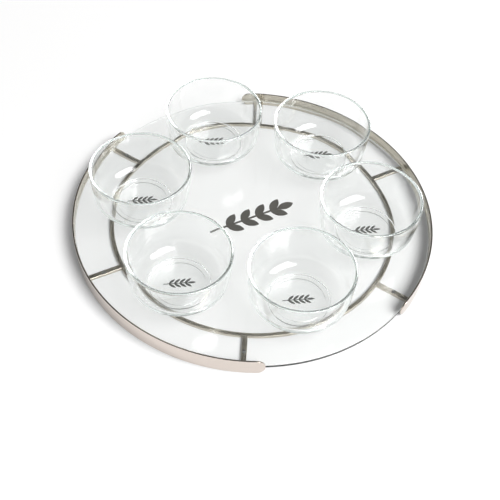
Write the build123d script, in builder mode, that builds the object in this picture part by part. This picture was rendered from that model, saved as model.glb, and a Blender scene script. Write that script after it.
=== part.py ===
from build123d import *
import math
import os

# A round glass plate lies in a low steel stand: two side bands, an inner ring and six spokes.
# Six loose glass bowls stand on it. Millimetres, +Z up, origin on the table under the centre.
# +X points to the right band, and the open sides of the stand face -Y and +Y.

# Stand
band_radius = 180.0       # outer face of both side bands
band_wall = 1.6
band_height = 17.6
band_overhang = 20.0      # arc length of a band past the middle of its end spokes
band_corner = 8.0         # rounding of a band's four corners
bar_thickness = 3.0       # ring and spokes, flat on the table
bar_edge = 0.5            # rounding of the bars' upper edges
ring_width = 4.0
spoke_length = 34.8       # from the ring's outer face to a band's inner face
spoke_width = 5.0

# Clear pads between the spokes and the glass
pad_diameter = 3.6
pad_height = 1.0
pad_edge = 0.3

# Glass plate
glass_thickness = 5.0
glass_gap = 0.6           # between the glass edge and the bands
glass_edge = 1.0          # rounding of the polished edge

# Bowls
bowl_rim_radius = 50.2
bowl_height = 50.5
bowl_wall = 2.8
bowl_rim_flat = 0.3       # flat left on top of the rounded rim
bowl_foot_radius = 30.0
bowl_foot_height = 2.5
bowl_foot_edge = 0.8
bowl_foot_ring = 5.0      # width of the ring that the foot stands on
bowl_foot_recess = 0.8
bowl_floor = 6.6          # inner floor above the glass plate
bowl_flat_radius = 28.8   # where the curve from the bottom to the side starts
bowl_round = 19.0         # outer radius of that curve
bowl_round_turn = 82.0    # degrees that this curve turns
bowl_gap = 13.1           # between the rims of neighbouring bowls
bowl_turn = -5.0          # degrees that the bowls stand off the middle of the sectors

# Leaf sprig in the middle of the plate
sprig_length = 92.0
sprig_thickness = 0.6
stem_width = 2.0
leaf_length = 18.0
leaf_width = 8.4
leaf_angle = 38.0         # degrees between a leaf and the stem
leaf_pairs = 4

# Worked out from the sizes above
band_inner = band_radius - band_wall
ring_outer = band_inner - spoke_length
ring_inner = ring_outer - ring_width
band_round = min(band_corner, band_height / 2 - bar_edge)
pad_radius = (ring_outer + band_inner) / 2
glass_bottom = bar_thickness + pad_height
glass_top = glass_bottom + glass_thickness
glass_radius = band_inner - glass_gap
bowl_circle = 2 * bowl_rim_radius + bowl_gap
rim_round = (bowl_wall - bowl_rim_flat) / 2
bowl_outside = (bowl_foot_height, bowl_round, bowl_rim_radius)
bowl_inside = (bowl_floor, bowl_round - bowl_wall, bowl_rim_radius - bowl_wall)
stem_end = sprig_length / 2 - leaf_length
leaf_pitch = 2 * (sprig_length - leaf_length) / (2 * leaf_pairs + 1)

spoke_names = ("right", "back_right", "back_left", "left", "front_left", "front_right")
bowl_names = ("back_right", "back", "back_left", "front_left", "front", "front_right")
sector = 360 / len(spoke_names)
band_half_span = sector + math.degrees(band_overhang / band_radius)
spoke_angles = [sector * place for place in range(len(spoke_names))]
bowl_angles = [sector * place + sector / 2 + bowl_turn for place in range(len(bowl_names))]

os.makedirs("parts", exist_ok=True)


def save(piece, name):
    piece.part.label = name
    export_step(piece.part, f"parts/{name}.step")


def polar(radius, angle, height=0.0):
    return (radius * math.cos(math.radians(angle)), radius * math.sin(math.radians(angle)), height)


# Side bands: upright strips on a circle, with rounded ends
for name, middle in (("right_band", 0.0), ("left_band", 180.0)):
    with BuildPart() as band:
        with BuildSketch():
            with BuildLine():
                outer_arc = CenterArc((0, 0), band_radius, middle - band_half_span, 2 * band_half_span)
                inner_arc = CenterArc((0, 0), band_inner, middle - band_half_span, 2 * band_half_span)
                Line(outer_arc @ 0, inner_arc @ 0)
                Line(outer_arc @ 1, inner_arc @ 1)
            make_face()
        extrude(amount=band_height)
        corners = band.edges().filter_by(GeomType.LINE).filter_by(Axis.Z, reverse=True)
        fillet(corners, radius=band_round)
    save(band, name)

# Inner ring: a flat bar rolled to a circle
with BuildPart() as inner_ring:
    with BuildSketch():
        Circle(ring_outer)
        Circle(ring_inner, mode=Mode.SUBTRACT)
    extrude(amount=bar_thickness)
    fillet(inner_ring.faces().sort_by(Axis.Z)[-1].edges(), radius=bar_edge)
save(inner_ring, "inner_ring")

# Spokes: flat bars from the ring to the bands, with ends that follow both curves
for name, angle in zip(spoke_names, spoke_angles):
    with BuildPart() as spoke:
        with BuildSketch():
            Circle(band_inner)
            Circle(ring_outer, mode=Mode.SUBTRACT)
            Rectangle(
                band_radius,
                spoke_width,
                rotation=angle,
                align=(Align.MIN, Align.CENTER),
                mode=Mode.INTERSECT,
            )
        extrude(amount=bar_thickness)
        long_edges = spoke.faces().sort_by(Axis.Z)[-1].edges().filter_by(GeomType.LINE)
        fillet(long_edges, radius=bar_edge)
    save(spoke, f"spoke_{name}")

# Pads: small clear discs on the middle of the spokes
for name, angle in zip(spoke_names, spoke_angles):
    with BuildPart() as pad:
        with BuildSketch(Plane(origin=polar(pad_radius, angle, bar_thickness))):
            Circle(pad_diameter / 2)
        extrude(amount=pad_height)
        fillet(pad.faces().sort_by(Axis.Z)[-1].edges(), radius=pad_edge)
    save(pad, f"pad_{name}")

# Glass plate: a disc with a rounded, polished edge
with BuildPart() as glass_plate:
    with BuildSketch(Plane.XY.offset(glass_bottom)):
        Circle(glass_radius)
    extrude(amount=glass_thickness)
    fillet(glass_plate.edges(), radius=glass_edge)
save(glass_plate, "glass_plate")

# Leaf sprig: a flat cut-out of stem and leaves on the glass
with BuildSketch() as leaf:
    with BuildLine():
        SagittaArc((0, 0), (leaf_length, 0), leaf_width / 2)
        SagittaArc((0, 0), (leaf_length, 0), -leaf_width / 2)
    make_face()

with BuildPart() as leaf_sprig:
    with BuildSketch(Plane.XY.offset(glass_top)):
        with Locations((-sprig_length / 2, 0)):
            Rectangle(sprig_length - leaf_length / 2, stem_width, align=(Align.MIN, Align.CENTER))
        with Locations((stem_end, 0)):
            add(leaf.sketch)
        for pair in range(leaf_pairs):
            with Locations((stem_end - leaf_pitch / 2 - pair * leaf_pitch, 0)):
                add(leaf.sketch, rotation=leaf_angle)
                add(leaf.sketch, rotation=-leaf_angle)
    extrude(amount=sprig_thickness)
save(leaf_sprig, "leaf_sprig")

# Bowls: turned bodies on a low foot, hollowed from the rim
for name, angle in zip(bowl_names, bowl_angles):
    centre = polar(bowl_circle, angle, glass_top)
    section = Plane(origin=centre, x_dir=(1, 0, 0), z_dir=(0, -1, 0))
    with BuildPart() as bowl:
        for (bottom, round_radius, rim), mode in ((bowl_outside, Mode.ADD), (bowl_inside, Mode.SUBTRACT)):
            with BuildSketch(section):
                with BuildLine():
                    flat = Line((0, bottom), (bowl_flat_radius, bottom))
                    lower = JernArc(flat @ 1, (1, 0), round_radius, bowl_round_turn)
                    side = TangentArc(lower @ 1, (rim, bowl_height), tangent=lower % 1)
                    mouth = Line(side @ 1, (0, bowl_height))
                    Line(mouth @ 1, flat @ 0)
                make_face()
            revolve(axis=Axis(centre, (0, 0, 1)), mode=mode)
        fillet(bowl.faces().sort_by(Axis.Z)[-1].edges(), radius=rim_round)
        with BuildSketch(Plane.XY.offset(glass_top).shift_origin(centre)):
            Circle(bowl_foot_radius)
        extrude(amount=bowl_foot_height + bowl_wall / 2)
        standing_edge = bowl.faces().sort_by(Axis.Z)[0].edges()
        fillet(standing_edge, radius=bowl_foot_edge)
        with BuildSketch(Plane.XY.offset(glass_top).shift_origin(centre)):
            Circle(bowl_foot_radius - bowl_foot_ring)
        extrude(amount=bowl_foot_recess, mode=Mode.SUBTRACT)
    save(bowl, f"bowl_{name}")
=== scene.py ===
import math

import bpy
from mathutils import Matrix, Vector


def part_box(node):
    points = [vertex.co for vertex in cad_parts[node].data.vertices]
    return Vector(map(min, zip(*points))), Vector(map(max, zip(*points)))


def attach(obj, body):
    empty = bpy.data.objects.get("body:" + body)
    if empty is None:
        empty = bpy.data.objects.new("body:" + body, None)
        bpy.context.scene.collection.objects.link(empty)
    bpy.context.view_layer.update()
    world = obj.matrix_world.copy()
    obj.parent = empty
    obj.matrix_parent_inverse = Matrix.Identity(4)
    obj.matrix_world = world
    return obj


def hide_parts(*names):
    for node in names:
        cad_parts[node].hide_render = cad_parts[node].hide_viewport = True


# A round glass plate in a low satin steel stand, with six clear glass bowls on it.
# Metres, +Z up, origin on the table under the middle of the plate.

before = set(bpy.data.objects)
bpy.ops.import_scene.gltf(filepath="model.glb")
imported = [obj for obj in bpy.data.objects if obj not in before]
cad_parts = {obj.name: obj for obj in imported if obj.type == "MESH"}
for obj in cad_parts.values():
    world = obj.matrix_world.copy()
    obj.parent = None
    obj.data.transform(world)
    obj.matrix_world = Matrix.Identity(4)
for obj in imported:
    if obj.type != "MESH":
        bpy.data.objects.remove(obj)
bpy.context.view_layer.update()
mm = 0.001

# Sizes read from the frame
plate_low, plate_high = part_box("glass_plate")
plate_radius = plate_high.x
band_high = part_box("right_band")[1]
band_radius = band_high.x
band_height = band_high.z
band_half_turn = math.asin(band_high.y / band_radius)
ring_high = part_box("inner_ring")[1]
ring_radius = ring_high.x
ring_height = ring_high.z
sprig_low, sprig_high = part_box("leaf_sprig")

BOWLS = ("back_right", "back", "back_left", "front_left", "front", "front_right")
SPOKES = ("right", "back_right", "back_left", "left", "front_left", "front_right")

HOLD = 0.2 * mm           # narrow strip beside a rounded edge, which keeps the face next to it flat

# Steel stand
BAND_WALL = 1.6 * mm
BAND_CORNER = 8.0 * mm
BAND_EDGE = 0.3 * mm
BAND_CUTS = 72            # slices along a band, so that it bends smoothly
RING_WIDTH = 4.0 * mm
RING_EDGE = 0.5 * mm
RING_SIDES = 288

# Glass plate
PLATE_EDGE = 2.3 * mm
PLATE_SIDES = 256
AIR = 0.04 * mm           # film of air that keeps the plate's faces off what touches them

# Bowls
BOWL_WALL = 2.8 * mm
BOWL_FOOT_RADIUS = 30.0 * mm
BOWL_FOOT_HEIGHT = 2.5 * mm
BOWL_FOOT_EDGE = 0.8 * mm
BOWL_FOOT_RING = 5.0 * mm
BOWL_FOOT_RECESS = 0.8 * mm
BOWL_FLOOR = 6.6 * mm     # inner floor above the plate
BOWL_FLAT_RADIUS = 28.8 * mm
BOWL_ROUND = 19.0 * mm
BOWL_ROUND_TURN = math.radians(82.0)
BOWL_SIDES = 128
POLE = 6.0 * mm           # radius of the flat disc that closes a turned piece

# Leaf sprig on the plate, and the small printed one in each bowl
STEM_WIDTH = 2.0 * mm
LEAF_LENGTH = 18.0 * mm
LEAF_WIDTH = 8.4 * mm
LEAF_ANGLE = math.radians(38.0)
LEAF_PAIRS = 4
LEAF_SIDES = 112          # of the discs that a leaf is cut from
LEAF_VALLEY = 0.22 * mm   # depth of the crease along a leaf
MARK_LENGTH = 31.0 * mm
MARK_STEM = 0.9 * mm
MARK_LEAF_LENGTH = 8.2 * mm
MARK_LEAF_WIDTH = 2.4 * mm
MARK_THICKNESS = 0.06 * mm
MARK_TURN = math.radians(-20.0)


# Modelling by hand: small steps that several pieces share

def begin(name):
    """Names the primitive that was just added and opens it in edit mode."""
    piece = bpy.context.object
    piece.name = name
    piece.data.name = name
    bpy.ops.object.mode_set(mode="EDIT")
    return piece


def clear_selection():
    bpy.ops.object.select_all(action="DESELECT")


def pick(piece):
    """Makes a piece the active one and the only one selected."""
    clear_selection()
    piece.select_set(True)
    bpy.context.view_layer.objects.active = piece


def set_down(piece):
    """Leaves edit mode and puts the piece's place into its mesh."""
    bpy.ops.object.mode_set(mode="OBJECT")
    pick(piece)
    bpy.ops.object.transform_apply(location=True, rotation=True, scale=True)
    return piece


def apply_modifier(piece, kind, **values):
    pick(piece)
    modifier = piece.modifiers.new(kind.title(), kind)
    for key, value in values.items():
        setattr(modifier, key, value)
    bpy.ops.object.modifier_apply(modifier=modifier.name)


def smooth(piece, angle=30.0):
    pick(piece)
    bpy.ops.object.shade_smooth_by_angle(angle=math.radians(angle))


def copy_of(piece, name, place=Matrix.Identity(4)):
    """A copy with its own mesh, moved within that mesh."""
    copy = piece.copy()
    copy.data = piece.data.copy()
    copy.name = name
    copy.data.name = name
    copy.data.transform(place)
    bpy.context.scene.collection.objects.link(copy)
    return copy


def arc(centre, radius, start, end, steps):
    """Points (radius, height) of an arc whose angle is measured outwards from straight down."""
    points = []
    for step in range(steps + 1):
        angle = start + (end - start) * step / steps
        points.append((centre[0] + radius * math.sin(angle), centre[1] - radius * math.cos(angle)))
    return points


def turned(name, outline, sides, closed=False):
    """Turns an outline of (radius, height) points round the Z axis, ring by ring."""
    clear_selection()
    radius, height = outline[0]
    bpy.ops.mesh.primitive_circle_add(vertices=sides, radius=radius, location=(0, 0, height))
    piece = begin(name)
    route = outline[1:] + outline[:1] if closed else outline[1:]
    for next_radius, next_height in route:
        rise = next_height - height
        grow = next_radius / radius
        bpy.ops.mesh.extrude_region_move(TRANSFORM_OT_translate={"value": (0, 0, rise)})
        bpy.ops.transform.resize(value=(grow, grow, 1), center_override=(0, 0, next_height))
        radius, height = next_radius, next_height
    bpy.ops.mesh.select_all(action="SELECT")
    if closed:
        bpy.ops.mesh.remove_doubles(threshold=0.01 * mm)
    else:
        bpy.ops.mesh.fill_holes(sides=0)
    bpy.ops.mesh.normals_make_consistent(inside=False)
    return set_down(piece)


# Materials

def node(tree, kind, **values):
    """Adds a node. A value names one of its settings, or one of its inputs by the input's name."""
    made = tree.nodes.new(kind)
    for key, value in values.items():
        if hasattr(made, key):
            setattr(made, key, value)
        else:
            made.inputs[key.replace("_", " ")].default_value = value
    return made


def new_material(name):
    material = bpy.data.materials.new(name)
    material.use_nodes = True
    material.node_tree.nodes.clear()
    return material, material.node_tree


def close_material(tree, shader):
    output = node(tree, "ShaderNodeOutputMaterial")
    tree.links.new(shader.outputs[0], output.inputs["Surface"])
    return output


def range_node(tree, source, low, high, from_low=0.0, from_high=1.0):
    """Spreads a value over a new range."""
    spread = node(tree, "ShaderNodeMapRange")
    spread.inputs["From Min"].default_value = from_low
    spread.inputs["From Max"].default_value = from_high
    spread.inputs["To Min"].default_value = low
    spread.inputs["To Max"].default_value = high
    tree.links.new(source, spread.inputs["Value"])
    return spread.outputs["Result"]


def ramp_node(tree, source, stops):
    """Turns a value into a colour by way of stops, each a position and a colour."""
    ramp = node(tree, "ShaderNodeValToRGB")
    tree.links.new(source, ramp.inputs["Fac"])
    elements = ramp.color_ramp.elements
    elements[1].position, elements[1].color = stops[-1]
    elements[0].position, elements[0].color = stops[0]
    for position, colour in stops[1:-1]:
        elements.new(position).color = colour
    return ramp.outputs["Color"]


def make_brush_lines():
    """Fine brush lines that run round the stand's middle or out from it."""
    group = bpy.data.node_groups.new("brush lines", "ShaderNodeTree")
    for name in ("Round", "Out", "Up"):
        group.interface.new_socket(name, in_out="INPUT", socket_type="NodeSocketFloat")
    group.interface.new_socket("Lines", in_out="OUTPUT", socket_type="NodeSocketFloat")
    inputs = node(group, "NodeGroupInput")
    outputs = node(group, "NodeGroupOutput")
    place = node(group, "ShaderNodeTexCoord")
    split = node(group, "ShaderNodeSeparateXYZ")
    flat = node(group, "ShaderNodeCombineXYZ")
    reach = node(group, "ShaderNodeVectorMath", operation="LENGTH")
    back = node(group, "ShaderNodeMath", operation="MULTIPLY")
    back.inputs[1].default_value = -1.0
    turn = node(group, "ShaderNodeMath", operation="ARCTAN2")
    group.links.new(place.outputs["Object"], split.inputs[0])
    group.links.new(split.outputs["X"], flat.inputs["X"])
    group.links.new(split.outputs["Y"], flat.inputs["Y"])
    group.links.new(flat.outputs[0], reach.inputs[0])
    group.links.new(split.outputs["X"], back.inputs[0])
    group.links.new(back.outputs[0], turn.inputs[0])
    group.links.new(split.outputs["Y"], turn.inputs[1])
    stretched = node(group, "ShaderNodeCombineXYZ")
    ways = (turn.outputs[0], reach.outputs["Value"], split.outputs["Z"])
    for number, way in enumerate(ways):
        times = node(group, "ShaderNodeMath", operation="MULTIPLY")
        group.links.new(way, times.inputs[0])
        group.links.new(inputs.outputs[number], times.inputs[1])
        group.links.new(times.outputs[0], stretched.inputs[number])
    noise = node(group, "ShaderNodeTexNoise", Scale=1.0, Detail=4.0, Roughness=0.65)
    group.links.new(stretched.outputs[0], noise.inputs["Vector"])
    group.links.new(noise.outputs["Fac"], outputs.inputs["Lines"])
    return group


def make_handling():
    """Soft cloudy marks that handling leaves on a polished surface."""
    group = bpy.data.node_groups.new("handling marks", "ShaderNodeTree")
    size = group.interface.new_socket("Size", in_out="INPUT", socket_type="NodeSocketFloat")
    size.default_value = 30.0
    group.interface.new_socket("Marks", in_out="OUTPUT", socket_type="NodeSocketFloat")
    inputs = node(group, "NodeGroupInput")
    outputs = node(group, "NodeGroupOutput")
    place = node(group, "ShaderNodeTexCoord")
    noise = node(group, "ShaderNodeTexNoise", Detail=5.0, Roughness=0.6, Distortion=0.6)
    group.links.new(place.outputs["Object"], noise.inputs["Vector"])
    group.links.new(inputs.outputs["Size"], noise.inputs["Scale"])
    spread = range_node(group, noise.outputs["Fac"], 0.0, 1.0, 0.45, 0.75)
    group.links.new(spread, outputs.inputs["Marks"])
    return group


def make_ripple():
    """Slow waves that moulding leaves in glass."""
    group = bpy.data.node_groups.new("glass ripple", "ShaderNodeTree")
    size = group.interface.new_socket("Size", in_out="INPUT", socket_type="NodeSocketFloat")
    size.default_value = 40.0
    depth = group.interface.new_socket("Depth", in_out="INPUT", socket_type="NodeSocketFloat")
    depth.default_value = 0.0001
    group.interface.new_socket("Normal", in_out="OUTPUT", socket_type="NodeSocketVector")
    inputs = node(group, "NodeGroupInput")
    outputs = node(group, "NodeGroupOutput")
    place = node(group, "ShaderNodeTexCoord")
    noise = node(group, "ShaderNodeTexNoise", Detail=1.0, Roughness=0.4)
    bump = node(group, "ShaderNodeBump", Strength=1.0)
    group.links.new(place.outputs["Object"], noise.inputs["Vector"])
    group.links.new(inputs.outputs["Size"], noise.inputs["Scale"])
    group.links.new(inputs.outputs["Depth"], bump.inputs["Distance"])
    group.links.new(noise.outputs["Fac"], bump.inputs["Height"])
    group.links.new(bump.outputs["Normal"], outputs.inputs["Normal"])
    return group


BRUSH_LINES = make_brush_lines()
HANDLING = make_handling()
RIPPLE = make_ripple()


def group_node(tree, group, **values):
    return node(tree, "ShaderNodeGroup", node_tree=group, **values)


STEEL_DARK = (0.60, 0.532, 0.482, 1.0)
STEEL_LIGHT = (0.80, 0.712, 0.652, 1.0)
STEEL_SHADE_WITHIN = (0.82, 0.86, 0.81, 1.0)  # painted shade: a darker, greener tint on all but the polished outer faces of the bands, in place of the dimmer reflections there
STEEL_ROUGH = (0.2, 0.36)  # roughness in and between the brush lines
SMUDGE_ROUGH = 0.06       # roughness that handling adds
POLISHED = 0.4            # roughness of the bands' outer faces against the rest


def make_steel(name, round_lines, out_lines, up_lines):
    """Satin steel with brush lines: how many per radian, per metre outwards and per metre upwards."""
    material, tree = new_material(name)
    lines = group_node(tree, BRUSH_LINES, Round=round_lines, Out=out_lines, Up=up_lines)
    marks = group_node(tree, HANDLING, Size=45.0)
    tone = node(tree, "ShaderNodeMix", data_type="RGBA")
    tone.inputs["A"].default_value = STEEL_DARK
    tone.inputs["B"].default_value = STEEL_LIGHT
    tree.links.new(lines.outputs["Lines"], tone.inputs["Factor"])
    place = node(tree, "ShaderNodeTexCoord")
    flat = node(tree, "ShaderNodeVectorMath", operation="MULTIPLY")
    flat.inputs[1].default_value = (1.0, 1.0, 0.0)
    reach = node(tree, "ShaderNodeVectorMath", operation="LENGTH")
    tree.links.new(place.outputs["Object"], flat.inputs[0])
    tree.links.new(flat.outputs[0], reach.inputs[0])
    core = band_radius - 0.6 * BAND_WALL
    skin = band_radius - 0.3 * BAND_WALL
    within = range_node(tree, reach.outputs["Value"], 1.0, 0.0, core, skin)
    # Painted shade: the ring, the spokes and all but the bands' outer faces are darkened and greened
    # here, standing in for the dim reflections they show.
    shade = node(tree, "ShaderNodeMix", data_type="RGBA", blend_type="MULTIPLY")
    shade.inputs["B"].default_value = STEEL_SHADE_WITHIN
    tree.links.new(within, shade.inputs["Factor"])
    tree.links.new(tone.outputs["Result"], shade.inputs["A"])
    gloss = range_node(tree, lines.outputs["Lines"], *STEEL_ROUGH, 0.3, 0.7)
    smudged = node(tree, "ShaderNodeMath", operation="MULTIPLY_ADD")
    smudged.inputs[1].default_value = SMUDGE_ROUGH
    tree.links.new(marks.outputs["Marks"], smudged.inputs[0])
    tree.links.new(gloss, smudged.inputs[2])
    polish = node(tree, "ShaderNodeMath", operation="MULTIPLY")
    polish_share = range_node(tree, within, POLISHED, 1.0)
    tree.links.new(smudged.outputs[0], polish.inputs[0])
    tree.links.new(polish_share, polish.inputs[1])
    bump = node(tree, "ShaderNodeBump", Strength=0.12, Distance=0.0001)
    tree.links.new(lines.outputs["Lines"], bump.inputs["Height"])
    shader = node(tree, "ShaderNodeBsdfPrincipled", Metallic=1.0)
    tree.links.new(shade.outputs["Result"], shader.inputs["Base Color"])
    tree.links.new(polish.outputs[0], shader.inputs["Roughness"])
    tree.links.new(bump.outputs["Normal"], shader.inputs["Normal"])
    close_material(tree, shader)
    return material


TRAPPED_AFTER = 6.5       # mirrorings inside the glass after which light is let out
LET_OUT = (0.97, 0.985, 0.98, 1.0)  # tint of that light
GLASS_HAZE = 0.03         # roughness that handling leaves on glass
GLASS_SHADE = (           # share of lamp light that passes, from a wall seen square on to its edge
    (0.0, (0.985, 0.99, 0.987, 1.0)),
    (0.4, (0.975, 0.975, 0.975, 1.0)),
    (0.75, (0.87, 0.87, 0.87, 1.0)),
    (1.0, (0.45, 0.46, 0.455, 1.0)),
)


def make_glass(name, tint, ripple_size, ripple_depth, deep_tint, depth):
    """Clear glass that lets lamp light through, with a deep tint that shows along thick edges."""
    material, tree = new_material(name)
    ripple = group_node(tree, RIPPLE, Size=ripple_size, Depth=ripple_depth)
    marks = group_node(tree, HANDLING, Size=24.0)
    haze = range_node(tree, marks.outputs["Marks"], 0.0, GLASS_HAZE)
    shader = node(tree, "ShaderNodeBsdfPrincipled", IOR=1.5)
    shader.inputs["Base Color"].default_value = tint
    shader.inputs["Transmission Weight"].default_value = 1.0
    tree.links.new(haze, shader.inputs["Roughness"])
    tree.links.new(ripple.outputs["Normal"], shader.inputs["Normal"])
    clear = node(tree, "ShaderNodeBsdfTransparent")
    slant = node(tree, "ShaderNodeLayerWeight", Blend=0.5)
    share = ramp_node(tree, slant.outputs["Facing"], GLASS_SHADE)
    tree.links.new(share, clear.inputs["Color"])
    path = node(tree, "ShaderNodeLightPath")
    lamp_light = node(tree, "ShaderNodeMath", operation="MAXIMUM")
    tree.links.new(path.outputs["Is Shadow Ray"], lamp_light.inputs[0])
    tree.links.new(path.outputs["Is Diffuse Ray"], lamp_light.inputs[1])
    trapped = node(tree, "ShaderNodeMath", operation="GREATER_THAN")
    trapped.inputs[1].default_value = TRAPPED_AFTER
    tree.links.new(path.outputs["Glossy Depth"], trapped.inputs[0])
    let_out = node(tree, "ShaderNodeBsdfTransparent")
    let_out.inputs["Color"].default_value = LET_OUT
    freed = node(tree, "ShaderNodeMixShader")
    tree.links.new(trapped.outputs[0], freed.inputs["Fac"])
    tree.links.new(shader.outputs[0], freed.inputs[1])
    tree.links.new(let_out.outputs[0], freed.inputs[2])
    mixed = node(tree, "ShaderNodeMixShader")
    tree.links.new(lamp_light.outputs[0], mixed.inputs["Fac"])
    tree.links.new(freed.outputs[0], mixed.inputs[1])
    tree.links.new(clear.outputs[0], mixed.inputs[2])
    body = node(tree, "ShaderNodeVolumeAbsorption")
    body.inputs["Color"].default_value = deep_tint
    body.inputs["Density"].default_value = depth
    output = close_material(tree, mixed)
    tree.links.new(body.outputs[0], output.inputs["Volume"])
    return material


def make_silicone():
    """Milky clear pads."""
    material, tree = new_material("clear silicone")
    marks = group_node(tree, HANDLING, Size=400.0)
    rough = range_node(tree, marks.outputs["Marks"], 0.2, 0.4)
    shader = node(tree, "ShaderNodeBsdfPrincipled", IOR=1.41)
    shader.inputs["Base Color"].default_value = (0.9, 0.92, 0.92, 1.0)
    shader.inputs["Transmission Weight"].default_value = 0.85
    tree.links.new(rough, shader.inputs["Roughness"])
    close_material(tree, shader)
    return material


ENAMEL_DARK = (0.075, 0.074, 0.066, 1.0)
ENAMEL_LIGHT = (0.125, 0.122, 0.110, 1.0)
INK_DENSE = (0.06, 0.062, 0.058, 1.0)
INK_THIN = (0.15, 0.152, 0.145, 1.0)


def make_enamel():
    """Dark satin enamel over metal, brushed along the sprig and a little uneven."""
    material, tree = new_material("dark satin enamel")
    place = node(tree, "ShaderNodeTexCoord")
    along = node(tree, "ShaderNodeMapping")
    along.inputs["Scale"].default_value = (60.0, 1900.0, 1900.0)
    tree.links.new(place.outputs["Object"], along.inputs["Vector"])
    lines = node(tree, "ShaderNodeTexNoise", Scale=1.0, Detail=3.0, Roughness=0.6)
    tree.links.new(along.outputs[0], lines.inputs["Vector"])
    marks = group_node(tree, HANDLING, Size=90.0)
    tone = node(tree, "ShaderNodeMix", data_type="RGBA")
    tone.inputs["A"].default_value = ENAMEL_DARK
    tone.inputs["B"].default_value = ENAMEL_LIGHT
    tree.links.new(lines.outputs["Fac"], tone.inputs["Factor"])
    rough = range_node(tree, marks.outputs["Marks"], 0.42, 0.6)
    bump = node(tree, "ShaderNodeBump", Strength=0.15, Distance=0.0001)
    tree.links.new(lines.outputs["Fac"], bump.inputs["Height"])
    shader = node(tree, "ShaderNodeBsdfPrincipled")
    tree.links.new(tone.outputs["Result"], shader.inputs["Base Color"])
    tree.links.new(rough, shader.inputs["Roughness"])
    tree.links.new(bump.outputs["Normal"], shader.inputs["Normal"])
    close_material(tree, shader)
    return material


def make_ink():
    """Fired dark print of uneven density."""
    material, tree = new_material("fired print")
    marks = group_node(tree, HANDLING, Size=500.0)
    tone = node(tree, "ShaderNodeMix", data_type="RGBA")
    tone.inputs["A"].default_value = INK_DENSE
    tone.inputs["B"].default_value = INK_THIN
    tree.links.new(marks.outputs["Marks"], tone.inputs["Factor"])
    rough = range_node(tree, marks.outputs["Marks"], 0.45, 0.7)
    shader = node(tree, "ShaderNodeBsdfPrincipled")
    tree.links.new(tone.outputs["Result"], shader.inputs["Base Color"])
    tree.links.new(rough, shader.inputs["Roughness"])
    close_material(tree, shader)
    return material


steel_round = make_steel(
    "satin steel, brushed round", round_lines=5.0, out_lines=2600.0, up_lines=1900.0
)
steel_out = make_steel(
    "satin steel, brushed outwards", round_lines=330.0, out_lines=25.0, up_lines=1900.0
)
plate_glass = make_glass(
    "plate glass",
    tint=(0.995, 1.0, 0.997, 1.0),
    ripple_size=9.0,
    ripple_depth=0.12 * mm,
    deep_tint=(0.54, 0.6, 0.575, 1.0),
    depth=6.0,
)
bowl_glass = make_glass(
    "bowl glass",
    tint=(0.995, 1.0, 0.998, 1.0),
    ripple_size=42.0,
    ripple_depth=0.16 * mm,
    deep_tint=(0.78, 0.85, 0.83, 1.0),
    depth=4.0,
)
clear_silicone = make_silicone()
enamel = make_enamel()
ink = make_ink()


def dress(piece, material):
    piece.data.materials.clear()
    piece.data.materials.append(material)


# Steel stand

def make_bands():
    """A strip is rounded at its corners, sliced, bent to the plate's curve and copied across."""
    length = 2 * band_half_turn * band_radius
    clear_selection()
    bpy.ops.mesh.primitive_plane_add(
        size=1.0, rotation=(math.pi / 2, 0, 0), location=(0, 0, band_height / 2)
    )
    strip = bpy.context.object
    strip.scale = (length, band_height, 1)
    bpy.ops.object.transform_apply(location=True, rotation=True, scale=True)
    strip = begin("right_side_band")
    bpy.ops.mesh.select_all(action="SELECT")
    bpy.ops.mesh.bevel(offset=BAND_CORNER, segments=12, affect="VERTICES")
    bpy.ops.mesh.select_all(action="SELECT")
    bpy.ops.mesh.extrude_region_move(TRANSFORM_OT_translate={"value": (0, BAND_WALL, 0)})
    bpy.ops.mesh.select_all(action="SELECT")
    bpy.ops.mesh.normals_make_consistent(inside=False)
    bpy.ops.object.mode_set(mode="OBJECT")
    apply_modifier(
        strip, "BEVEL", width=BAND_EDGE, segments=3, limit_method="ANGLE", angle_limit=math.radians(60)
    )
    bpy.ops.object.mode_set(mode="EDIT")
    for height in (BAND_EDGE + HOLD, band_height - BAND_EDGE - HOLD):
        bpy.ops.mesh.select_all(action="SELECT")
        bpy.ops.mesh.bisect(plane_co=(0, 0, height), plane_no=(0, 0, 1))
    for cut in range(1, BAND_CUTS):
        along = length * (cut / BAND_CUTS - 0.5)
        bpy.ops.mesh.select_all(action="SELECT")
        bpy.ops.mesh.bisect(plane_co=(along, 0, 0), plane_no=(1, 0, 0))
    bpy.ops.object.mode_set(mode="OBJECT")
    apply_modifier(
        strip, "SIMPLE_DEFORM", deform_method="BEND", deform_axis="Z", angle=2 * band_half_turn
    )
    strip.location = (0, -band_radius, 0)
    set_down(strip)
    strip.rotation_euler = (0, 0, math.pi / 2)
    set_down(strip)
    smooth(strip, 40.0)
    other = copy_of(strip, "left_side_band", Matrix.Rotation(math.pi, 4, "Z"))
    return strip, other


def make_ring():
    """A flat bar rolled to a circle, with eased upper edges."""
    inner = ring_radius - RING_WIDTH
    top = ring_height - RING_EDGE
    outline = [(inner, 0), (ring_radius, 0), (ring_radius, top - HOLD)]
    outline += arc((ring_radius - RING_EDGE, top), RING_EDGE, math.pi / 2, math.pi, 4)
    outline += [(ring_radius - RING_EDGE - HOLD, ring_height), (inner + RING_EDGE + HOLD, ring_height)]
    outline += arc((inner + RING_EDGE, top), RING_EDGE, math.pi, 1.5 * math.pi, 4)
    outline += [(inner, top - HOLD)]
    ring = turned("rolled_ring", outline, RING_SIDES, closed=True)
    smooth(ring)
    return ring


right_band, left_band = make_bands()
for band, node_name in ((right_band, "right_band"), (left_band, "left_band")):
    dress(band, steel_round)
    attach(band, "stand")
    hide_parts(node_name)

ring = make_ring()
dress(ring, steel_round)
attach(ring, "stand")
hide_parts("inner_ring")

for place in SPOKES:
    dress(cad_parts["spoke_" + place], steel_out)
    dress(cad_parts["pad_" + place], clear_silicone)


# Glass plate

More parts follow.
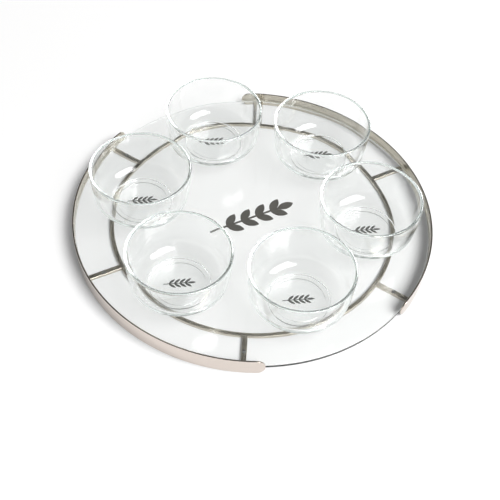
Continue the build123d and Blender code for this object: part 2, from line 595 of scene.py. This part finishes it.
def make_plate():
    """A disc with a rounded, polished edge."""
    bottom = plate_low.z + AIR
    top = plate_high.z - AIR
    inset = plate_radius - PLATE_EDGE
    flat = inset - HOLD
    outline = [(POLE, bottom), (inset / 2, bottom), (flat, bottom)]
    outline += arc((inset, bottom + PLATE_EDGE), PLATE_EDGE, 0, math.pi / 2, 8)
    outline += arc((inset, top - PLATE_EDGE), PLATE_EDGE, math.pi / 2, math.pi, 8)
    outline += [(flat, top), (inset / 2, top), (POLE, top)]
    plate = turned("clear_plate", outline, PLATE_SIDES)
    smooth(plate)
    return plate


plate = make_plate()
dress(plate, plate_glass)
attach(plate, "plate")
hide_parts("glass_plate")


# Bowls

def bowl_side(bottom, round_radius, rim_radius, height, top, start):
    """Points of one face of a bowl's side, from its low curve up a long arc towards the rim."""
    turn = BOWL_ROUND_TURN
    low_centre = (BOWL_FLAT_RADIUS, bottom + round_radius)
    low = arc(low_centre, round_radius, start, turn, 14)
    outward = Vector((math.sin(turn), -math.cos(turn)))
    chord = Vector((rim_radius, height)) - Vector(low[-1])
    side_radius = -chord.length_squared / (2 * chord.dot(outward))
    side_centre = Vector(low[-1]) - outward * side_radius
    end = math.acos((side_centre.y - top) / side_radius)
    return low + arc(side_centre, side_radius, turn, end, 14)[1:]


def make_bowl(rim_radius, height):
    """The outline runs from the middle of the floor over the rim and under the foot."""
    lip = BOWL_WALL / 2
    top = height - lip
    foot_turn = math.asin((BOWL_FOOT_RADIUS - BOWL_FLAT_RADIUS) / BOWL_ROUND)
    inside = bowl_side(BOWL_FLOOR, BOWL_ROUND - BOWL_WALL, rim_radius - BOWL_WALL, height, top, 0)
    outside = bowl_side(BOWL_FOOT_HEIGHT, BOWL_ROUND, rim_radius, height, top, foot_turn)
    lip_middle = (inside[-1][0] + outside[-1][0]) / 2

    flat = BOWL_FLAT_RADIUS - HOLD
    outline = [(POLE, BOWL_FLOOR), (0.6 * BOWL_FLAT_RADIUS, BOWL_FLOOR), (flat, BOWL_FLOOR)]
    outline += inside[:-1]
    outline += [(inside[-1][0], top - HOLD), inside[-1]]
    outline += arc((lip_middle, top), lip, 1.5 * math.pi, 0.5 * math.pi, 10)[1:-1]
    outline += [outside[-1], (outside[-1][0], top - HOLD)]
    outline += outside[-2::-1]
    foot_edge = (BOWL_FOOT_RADIUS - BOWL_FOOT_EDGE, BOWL_FOOT_EDGE)
    outline += [(BOWL_FOOT_RADIUS, BOWL_FOOT_EDGE + HOLD)]
    outline += arc(foot_edge, BOWL_FOOT_EDGE, math.pi / 2, 0, 5)
    outline += [(foot_edge[0] - HOLD, 0)]
    recess = BOWL_FOOT_RADIUS - BOWL_FOOT_RING
    outline += [(recess, 0), (recess, BOWL_FOOT_RECESS), (POLE, BOWL_FOOT_RECESS)]
    bowl = turned("clear_bowl", outline, BOWL_SIDES)
    smooth(bowl, 35.0)
    return bowl


# Leaf sprigs

def make_leaf(length, width, thickness, valley):
    """Two discs that overlap leave a pointed leaf. A crease is pressed in along its middle."""
    radius = length ** 2 / (4 * width) + width / 4
    aside = radius - width / 2
    discs = []
    for side in (aside, -aside):
        centre = (length / 2, side, thickness / 2)
        clear_selection()
        bpy.ops.mesh.primitive_cylinder_add(
            vertices=LEAF_SIDES, radius=radius, depth=thickness, location=centre
        )
        discs.append(set_down(bpy.context.object))
    cutter, leaf = discs
    apply_modifier(leaf, "BOOLEAN", operation="INTERSECT", object=cutter, solver="EXACT")
    bpy.data.objects.remove(cutter)
    if valley:
        bpy.ops.object.mode_set(mode="EDIT")
        bpy.ops.mesh.select_all(action="SELECT")
        bpy.ops.mesh.bisect(plane_co=(0, 0, 0), plane_no=(0, 1, 0))
        for share in (0.12, 0.3, 0.5, 0.7, 0.88):
            bpy.ops.mesh.select_all(action="SELECT")
            bpy.ops.mesh.bisect(plane_co=(share * length, 0, 0), plane_no=(1, 0, 0))
        bpy.ops.object.mode_set(mode="OBJECT")
        for vertex in leaf.data.vertices:
            middle = abs(vertex.co.y) < 0.001 * mm
            inside = 0.05 * length < vertex.co.x < 0.95 * length
            if middle and inside and vertex.co.z > thickness / 2:
                vertex.co.z -= valley
    return leaf


def make_sprig(name, length, stem, leaf_length, leaf_width, leaf_angle, thickness, valley):
    """A stem along X with pairs of leaves and one leaf at its end, its underside at height 0."""
    stem_end = length / 2 - leaf_length
    pitch = (length - leaf_length) / (LEAF_PAIRS + 0.5)
    stem_length = length - 0.5 * leaf_length
    stem_middle = ((stem_length - length) / 2, 0, 0.45 * thickness)
    clear_selection()
    bpy.ops.mesh.primitive_cube_add(size=1.0, location=stem_middle)
    sprig = bpy.context.object
    sprig.name = name
    sprig.data.name = name
    sprig.scale = (stem_length, stem, 0.9 * thickness)
    set_down(sprig)
    leaf = make_leaf(leaf_length, leaf_width, thickness, valley)
    places = [Matrix.Translation((stem_end, 0, 0))]
    for pair in range(LEAF_PAIRS):
        root = Matrix.Translation((stem_end - (pair + 0.5) * pitch, 0, 0))
        for side in (1, -1):
            places.append(root @ Matrix.Rotation(side * leaf_angle, 4, "Z"))
    for place in places:
        blade = copy_of(leaf, name + "_blade", place)
        apply_modifier(sprig, "BOOLEAN", operation="UNION", object=blade, solver="EXACT")
        bpy.data.objects.remove(blade)
    bpy.data.objects.remove(leaf)
    return sprig


sprig = make_sprig(
    "chased_sprig",
    sprig_high.x - sprig_low.x,
    STEM_WIDTH,
    LEAF_LENGTH,
    LEAF_WIDTH,
    LEAF_ANGLE,
    sprig_high.z - sprig_low.z,
    LEAF_VALLEY,
)
sprig.data.transform(Matrix.Translation((0, 0, sprig_low.z)))
sprig.visible_shadow = False
dress(sprig, enamel)
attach(sprig, "plate")
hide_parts("leaf_sprig")

first_low, first_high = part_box("bowl_back")
bowl_rim = (first_high.x - first_low.x) / 2
bowl_height = first_high.z - first_low.z
bowl_form = make_bowl(bowl_rim, bowl_height)
mark_form = make_sprig(
    "printed_form",
    MARK_LENGTH,
    MARK_STEM,
    MARK_LEAF_LENGTH,
    MARK_LEAF_WIDTH,
    LEAF_ANGLE,
    MARK_THICKNESS,
    0.0,
)
for place in BOWLS:
    low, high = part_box("bowl_" + place)
    middle = (low + high) / 2
    stand_on = Matrix.Translation((middle.x, middle.y, low.z))
    bowl = copy_of(bowl_form, "clear_bowl_" + place, stand_on)
    dress(bowl, bowl_glass)
    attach(bowl, "bowl_" + place)
    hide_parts("bowl_" + place)
    underside = low.z + BOWL_FOOT_RECESS - MARK_THICKNESS - AIR
    turn = Matrix.Rotation(MARK_TURN, 4, "Z")
    under = Matrix.Translation((middle.x, middle.y, underside)) @ turn
    mark = copy_of(mark_form, "printed_sprig_" + place, under)
    mark.visible_shadow = False
    dress(mark, ink)
    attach(mark, "bowl_" + place)
bpy.data.objects.remove(bowl_form)
bpy.data.objects.remove(mark_form)


# Stage: a wide white floor, a pale horizon under a dim ceiling, and one large soft lamp

FLOOR_RADIUS = 30.0
FLOOR_TONE = 0.9
FLOOR_GRAIN = 0.01
FLOOR_LIFT = 0.155        # own light of the floor, so that it comes out white
FAR_LIFT = 0.85           # the same where the lamp no longer reaches
NEAR_FLOOR = 0.25         # reach at which the floor's own light starts to grow
FAR_FLOOR = 5.0           # and at which it is full
HORIZON = (0.95, 0.95, 0.95, 1.0)
CEILING = (0.05, 0.049, 0.046, 1.0)
ZENITH = (0.2, 0.2, 0.2, 1.0)
PALE_CEILING = (0.5, 0.5, 0.49, 1.0)
SKY = ((0.12, HORIZON), (0.45, CEILING), (0.85, CEILING), (1.0, ZENITH))
PALE_SKY = ((0.12, HORIZON), (0.45, PALE_CEILING))
ONE_WALL = 3.5            # glass faces that count as a single wall
NO_MIRROR = 0.5           # below this, light came straight through


def make_floor():
    """A white table with a little light of its own, which only the eye sees."""
    clear_selection()
    bpy.ops.mesh.primitive_circle_add(
        vertices=96, radius=FLOOR_RADIUS, fill_type="NGON", location=(0, 0, 0)
    )
    floor = begin("floor")
    bpy.ops.mesh.select_all(action="SELECT")
    bpy.ops.mesh.inset(thickness=0.9 * FLOOR_RADIUS)
    set_down(floor)
    floor.data.transform(Matrix.Translation((0, 0, -AIR)))
    material, tree = new_material("white table")
    grain = node(tree, "ShaderNodeTexNoise", Scale=60.0, Detail=3.0)
    tone = range_node(tree, grain.outputs["Fac"], FLOOR_TONE - FLOOR_GRAIN, FLOOR_TONE + FLOOR_GRAIN)
    diffuse = node(tree, "ShaderNodeBsdfDiffuse")
    tree.links.new(tone, diffuse.inputs["Color"])
    path = node(tree, "ShaderNodeLightPath")
    seen = node(tree, "ShaderNodeMath", operation="ADD", use_clamp=True)
    tree.links.new(path.outputs["Is Camera Ray"], seen.inputs[0])
    tree.links.new(path.outputs["Is Glossy Ray"], seen.inputs[1])
    either = node(tree, "ShaderNodeMath", operation="ADD", use_clamp=True)
    tree.links.new(seen.outputs[0], either.inputs[0])
    tree.links.new(path.outputs["Is Transmission Ray"], either.inputs[1])
    place = node(tree, "ShaderNodeTexCoord")
    reach = node(tree, "ShaderNodeVectorMath", operation="LENGTH")
    tree.links.new(place.outputs["Object"], reach.inputs[0])
    lift = range_node(tree, reach.outputs["Value"], FLOOR_LIFT, FAR_LIFT, NEAR_FLOOR, FAR_FLOOR)
    strength = node(tree, "ShaderNodeMath", operation="MULTIPLY")
    tree.links.new(either.outputs[0], strength.inputs[0])
    tree.links.new(lift, strength.inputs[1])
    glow = node(tree, "ShaderNodeEmission")
    tree.links.new(strength.outputs[0], glow.inputs["Strength"])
    both = node(tree, "ShaderNodeAddShader")
    tree.links.new(diffuse.outputs[0], both.inputs[0])
    tree.links.new(glow.outputs[0], both.inputs[1])
    close_material(tree, both)
    dress(floor, material)


def make_world():
    """A pale horizon under a dim ceiling, which a single glass wall shows paler."""
    world = bpy.data.worlds.new("studio")
    bpy.context.scene.world = world
    world.use_nodes = True
    tree = world.node_tree
    tree.nodes.clear()
    place = node(tree, "ShaderNodeTexCoord")
    split = node(tree, "ShaderNodeSeparateXYZ")
    tree.links.new(place.outputs["Generated"], split.inputs[0])
    sky = ramp_node(tree, split.outputs["Z"], SKY)
    pale_sky = ramp_node(tree, split.outputs["Z"], PALE_SKY)
    path = node(tree, "ShaderNodeLightPath")
    one_wall = node(tree, "ShaderNodeMath", operation="LESS_THAN")
    one_wall.inputs[1].default_value = ONE_WALL
    tree.links.new(path.outputs["Transmission Depth"], one_wall.inputs[0])
    no_mirror = node(tree, "ShaderNodeMath", operation="LESS_THAN")
    no_mirror.inputs[1].default_value = NO_MIRROR
    tree.links.new(path.outputs["Glossy Depth"], no_mirror.inputs[0])
    straight = node(tree, "ShaderNodeMath", operation="MAXIMUM")
    tree.links.new(one_wall.outputs[0], straight.inputs[0])
    tree.links.new(no_mirror.outputs[0], straight.inputs[1])
    behind = node(tree, "ShaderNodeMath", operation="MULTIPLY")
    tree.links.new(path.outputs["Is Transmission Ray"], behind.inputs[0])
    tree.links.new(straight.outputs[0], behind.inputs[1])
    shown = node(tree, "ShaderNodeMix", data_type="RGBA")
    tree.links.new(behind.outputs[0], shown.inputs["Factor"])
    tree.links.new(sky, shown.inputs["A"])
    tree.links.new(pale_sky, shown.inputs["B"])
    light = node(tree, "ShaderNodeBackground")
    tree.links.new(shown.outputs["Result"], light.inputs["Color"])
    output = node(tree, "ShaderNodeOutputWorld")
    tree.links.new(light.outputs[0], output.inputs["Surface"])


def towards(azimuth, elevation):
    """Direction from the middle of the plate, with azimuth 0 towards -Y and 90 towards +X."""
    a = math.radians(azimuth)
    e = math.radians(elevation)
    return Vector((math.sin(a) * math.cos(e), -math.cos(a) * math.cos(e), math.sin(e)))


LAMP_AZIMUTH = 27.0
LAMP_ELEVATION = 52.0
LAMP_DISTANCE = 4.0
LAMP_WIDTH = 3.0
LAMP_HEIGHT = 2.0
LAMP_POWER = 203.0


def make_lamp():
    light = bpy.data.lights.new("right softbox", "AREA")
    light.shape = "RECTANGLE"
    light.size = LAMP_WIDTH
    light.size_y = LAMP_HEIGHT
    light.energy = LAMP_POWER
    lamp = bpy.data.objects.new("right softbox", light)
    back = towards(LAMP_AZIMUTH, LAMP_ELEVATION)
    lamp.location = back * LAMP_DISTANCE
    lamp.rotation_mode = "QUATERNION"
    lamp.rotation_quaternion = back.to_track_quat("Z", "Y")
    bpy.context.scene.collection.objects.link(lamp)


CAMERA_AZIMUTH = -30.0
CAMERA_ELEVATION = 49.88
CAMERA_DISTANCE = 0.9479
CAMERA_ROLL = 3.86
CAMERA_TARGET = Vector((-18.69 * mm, -30.77 * mm, 0.0))
CAMERA_LENS = 68.7        # for a sensor of 36


def make_camera():
    data = bpy.data.cameras.new("camera")
    data.lens = CAMERA_LENS
    data.sensor_width = 36.0
    camera = bpy.data.objects.new("camera", data)
    bpy.context.scene.collection.objects.link(camera)
    back = towards(CAMERA_AZIMUTH, CAMERA_ELEVATION)
    level = (-back).to_track_quat("-Z", "Y").to_matrix().to_4x4()
    roll = Matrix.Rotation(math.radians(CAMERA_ROLL), 4, "Z")
    camera.matrix_world = Matrix.Translation(CAMERA_TARGET + back * CAMERA_DISTANCE) @ level @ roll
    data.clip_start = 0.01
    data.clip_end = 100.0
    bpy.context.scene.camera = camera


make_floor()
make_world()
make_lamp()
make_camera()
bpy.context.scene.view_settings.view_transform = "Standard"

# The steel throws no bright flecks on the table. Light reaches the table through several glass walls,
# and runs on inside a rim.
cycles = bpy.context.scene.cycles
cycles.caustics_reflective = False
cycles.transparent_max_bounces = 40
cycles.max_bounces = 32
cycles.transmission_bounces = 32
cycles.glossy_bounces = 12
